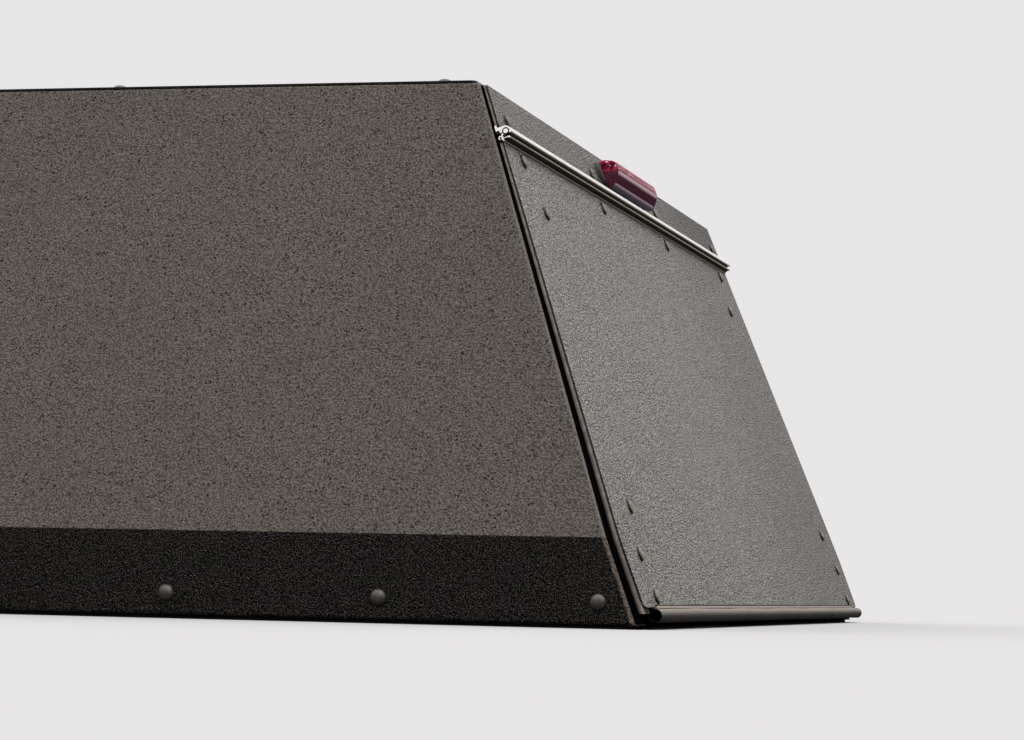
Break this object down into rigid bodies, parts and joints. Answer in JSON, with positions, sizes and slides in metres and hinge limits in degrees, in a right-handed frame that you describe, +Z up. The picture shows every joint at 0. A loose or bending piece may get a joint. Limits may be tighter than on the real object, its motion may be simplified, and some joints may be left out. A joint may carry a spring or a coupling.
{
  "type": "pickup truck canopy",
  "caption": "Pickup bed canopy: a bolted shell of textured sheet with inward leaning sides, a raked back and a top hinged rear door with a brake light above it.",
  "frame": {"origin": "under the middle of the canopy's bounding box, at the height of the bed rails that it rests on", "axes": "+Z up, +Y towards the cab, the rear door faces -Y, +X is the vehicle's right side"},
  "size_m": [1.42, 1.5695, 0.5225],
  "materials": {
    "textured_coat": "textured black powder coat",
    "frame_steel": "satin black",
    "hinge_aluminium": "extruded, satin",
    "seal_rubber": "black rubber, slight sheen",
    "foam": "black closed cell foam",
    "light_housing": "moulded black",
    "red_lens": "clear red, glossy"
  },
  "bodies": {
    "canopy": {"left_side_panel": "textured_coat", "right_side_panel": "textured_coat", "roof_panel": "textured_coat", "front_panel": "textured_coat", "base_seal_left": "foam", "base_seal_right": "foam", "base_seal_front": "foam", "base_rail_left": "frame_steel", "base_rail_right": "frame_steel", "front_base_angle": "frame_steel", "front_roof_angle": "frame_steel", "front_corner_post_left": "frame_steel", "front_corner_post_right": "frame_steel", "roof_bow_rear": "frame_steel", "roof_bow_middle": "frame_steel", "roof_bow_front": "frame_steel", "left_rib_rear": "frame_steel", "left_rib_middle": "frame_steel", "left_rib_front": "frame_steel", "right_rib_rear": "frame_steel", "right_rib_middle": "frame_steel", "right_rib_front": "frame_steel", "rear_jamb_left": "frame_steel", "rear_jamb_right": "frame_steel", "frame_seal_left": "seal_rubber", "frame_seal_right": "seal_rubber", "rear_header_panel": "textured_coat", "header_angle": "frame_steel", "header_seal": "seal_rubber", "hinge_upper_leaf": "hinge_aluminium", "brake_light_base": "light_housing", "brake_light_lens": "red_lens"},
    "rear_door": {"door_skin": "textured_coat", "hinge_lower_leaf": "hinge_aluminium", "door_stile_left": "frame_steel", "door_stile_right": "frame_steel", "door_top_rail": "frame_steel", "door_bottom_rail": "frame_steel", "door_seal_clip": "seal_rubber", "door_bottom_seal": "seal_rubber"}
  },
  "joints": [
    {"name": "rear_door_hinge", "type": "hinge", "parent": "canopy", "child": "rear_door", "pos_m": [0, -0.6073, 0.4703], "axis": [-1, 0, 0], "range_deg": [0, 80]}
  ]
}
